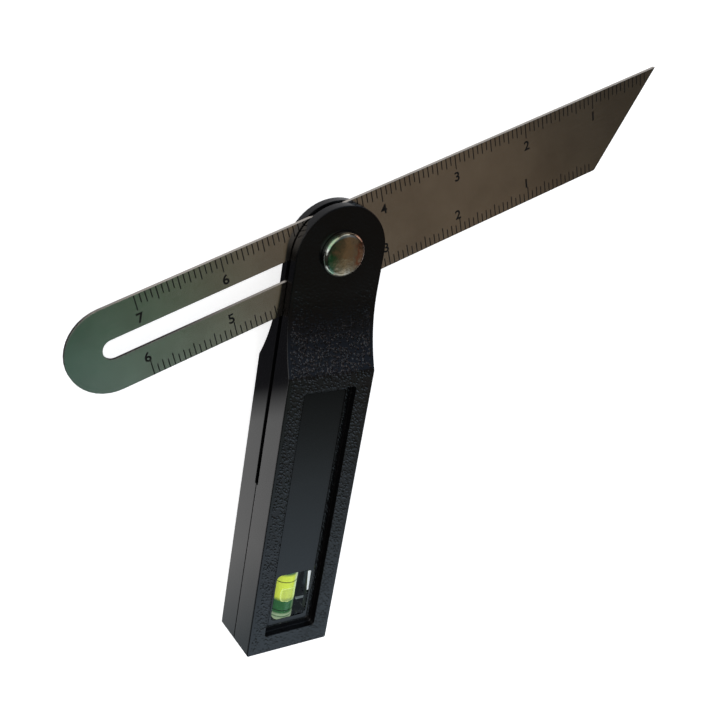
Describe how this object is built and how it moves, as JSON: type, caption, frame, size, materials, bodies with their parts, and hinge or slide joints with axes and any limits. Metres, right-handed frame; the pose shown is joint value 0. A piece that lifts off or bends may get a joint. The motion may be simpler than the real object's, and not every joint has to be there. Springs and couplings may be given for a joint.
{
  "type": "sliding bevel",
  "caption": "Sliding bevel with a slotted steel blade clamped in a two-part moulded handle, and a vial level under a clear window near the handle's end.",
  "frame": {"origin": "middle of the flat rear face of the handle's body", "axes": "+Z out of the front face, +Y along the handle towards its head, +X to the side that the blade's point leans to"},
  "size_m": [0.1833, 0.1884, 0.0267],
  "materials": {
    "moulded_plastic": "satin, with a leather grain on the front face",
    "label_film": "smooth film",
    "clear_plastic": "clear",
    "vial_liquid": "clear yellow-green",
    "vial_air": "clear",
    "polished_steel": "polished",
    "plated_steel": "satin plating",
    "washer_nylon": "smooth",
    "blade_steel": "fine brushed, with etched graduations"
  },
  "bodies": {
    "handle": {"front_shell": "moulded_plastic", "rear_shell": "moulded_plastic", "side_lens": "clear_plastic", "window_panel": "clear_plastic", "label_plate": "label_film", "shell_screw_1": "plated_steel", "shell_screw_2": "plated_steel", "shell_screw_3": "plated_steel", "shell_screw_4": "plated_steel", "vial_tube": "clear_plastic", "vial_plug": "clear_plastic", "vial_liquid": "vial_liquid", "clamp_bolt": "polished_steel"},
    "washers": {"front_friction_washer": "washer_nylon", "rear_friction_washer": "washer_nylon"},
    "blade": {"blade": "blade_steel"},
    "plain_washer": {"plain_washer": "plated_steel"},
    "wing_nut": {"wing_nut": "plated_steel"},
    "bubble": {"vial_bubble": "vial_air"}
  },
  "joints": [
    {"name": "blade_swing", "type": "hinge", "parent": "handle", "child": "washers", "pos_m": [0, 0.08525, 0.0092], "axis": [0, 0, 1], "range_deg": [-89.97, 48.43]},
    {"name": "blade_slide", "type": "slide", "parent": "washers", "child": "blade", "axis": [0.935, 0.3546, 0], "range_m": [-0.0081, 0.0685]},
    {"name": "nut_travel", "type": "slide", "parent": "handle", "child": "plain_washer", "axis": [0, 0, -1], "range_m": [0, 0.0008]},
    {"name": "nut_turn", "type": "hinge", "parent": "plain_washer", "child": "wing_nut", "pos_m": [0, 0.08525, 0.0047], "axis": [0, 0, -1], "range_deg": [0, 360]},
    {"name": "bubble_slide", "type": "slide", "parent": "handle", "child": "bubble", "axis": [0, 1, 0], "range_m": [-0.0028, 0.0028]}
  ],
  "couplings": [
    {"joint": "nut_turn", "follows": "nut_travel", "rad_per_m": 7854}
  ]
}
